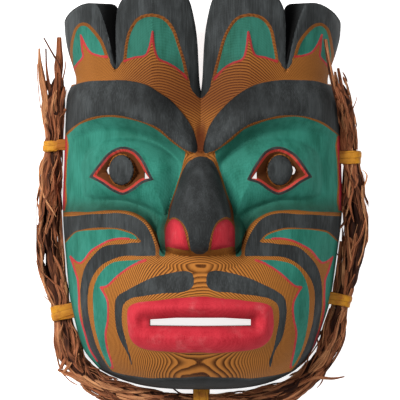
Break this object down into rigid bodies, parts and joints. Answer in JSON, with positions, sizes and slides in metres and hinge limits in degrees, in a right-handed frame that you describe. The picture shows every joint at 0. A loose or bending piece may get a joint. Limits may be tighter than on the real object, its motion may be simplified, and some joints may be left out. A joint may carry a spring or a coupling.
{
  "type": "carved wooden mask",
  "caption": "Carved and painted cedar mask of a sea chief with a lobed crown, hollow back, open eyes and mouth, and a twisted cedar bark bundle lashed round its sides and chin.",
  "frame": {"origin": "centre of the outline of the whole object, on the surface it lies on", "axes": "+Z out of the face, +Y towards the crown, +X towards the right-hand side for someone looking down at the face"},
  "size_m": [0.285, 0.3656, 0.126],
  "materials": {
    "painted_cedar": "carved red cedar with thin black, green and red paint",
    "cedar_bark": "shredded and twisted bark strips",
    "tie_leather": "golden split leather"
  },
  "bodies": {
    "root": {"mask": "painted_cedar", "bark_wreath": "cedar_bark", "tie_upper_left": "tie_leather", "tie_lower_left": "tie_leather", "tie_chin": "tie_leather", "tie_lower_right": "tie_leather", "tie_upper_right": "tie_leather"}
  },
  "joints": []
}
